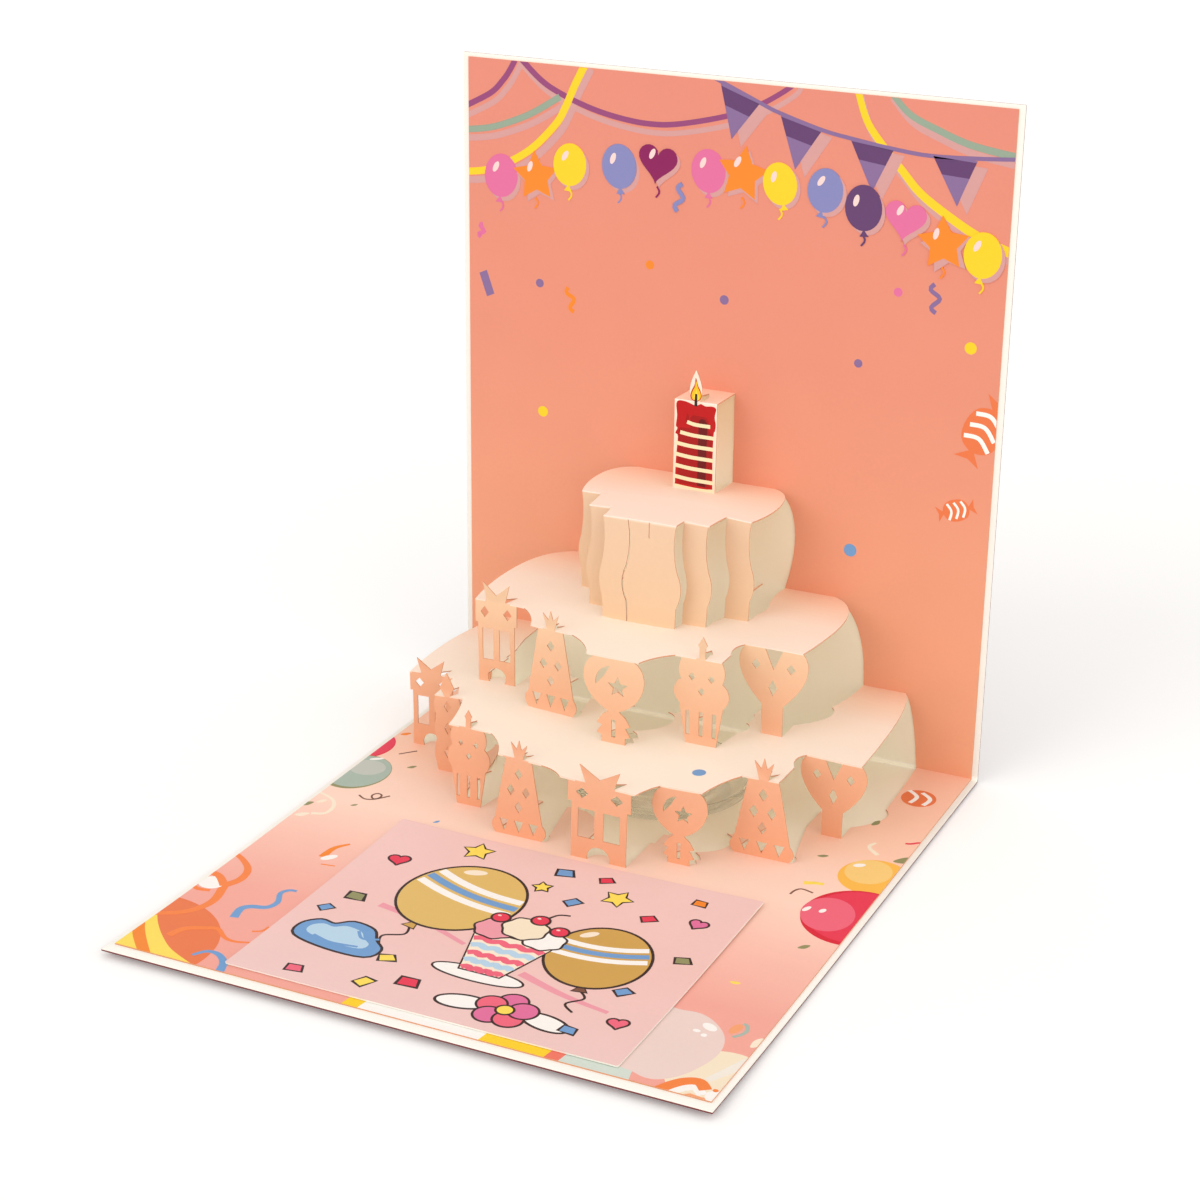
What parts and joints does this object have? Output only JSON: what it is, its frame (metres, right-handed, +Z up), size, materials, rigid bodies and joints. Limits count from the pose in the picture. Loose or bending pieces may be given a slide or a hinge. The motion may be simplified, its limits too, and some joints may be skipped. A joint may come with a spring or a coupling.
{
  "type": "pop up card",
  "caption": "Birthday pop up card standing open at a right angle, with a tiered paper cake and candle folded out of its inner sheet.",
  "frame": {"origin": "middle of the footprint, on the underside of the cover", "axes": "+X to the reader's right along the gutter, +Y from the front edge to the back panel, +Z up"},
  "size_m": [0.17, 0.2, 0.2],
  "materials": {
    "cover_board": "smooth uncoated board, cream inside and red outside",
    "printed_sheet": "printed matte paper, coral with paler tiers",
    "picture_card": "printed matte paper, pale pink",
    "clear_plastic": "clear moulded plastic, glossy"
  },
  "bodies": {
    "root": {"cover": "cover_board", "popup_sheet": "printed_sheet", "picture_card": "picture_card", "clear_disc": "clear_plastic"}
  },
  "joints": []
}
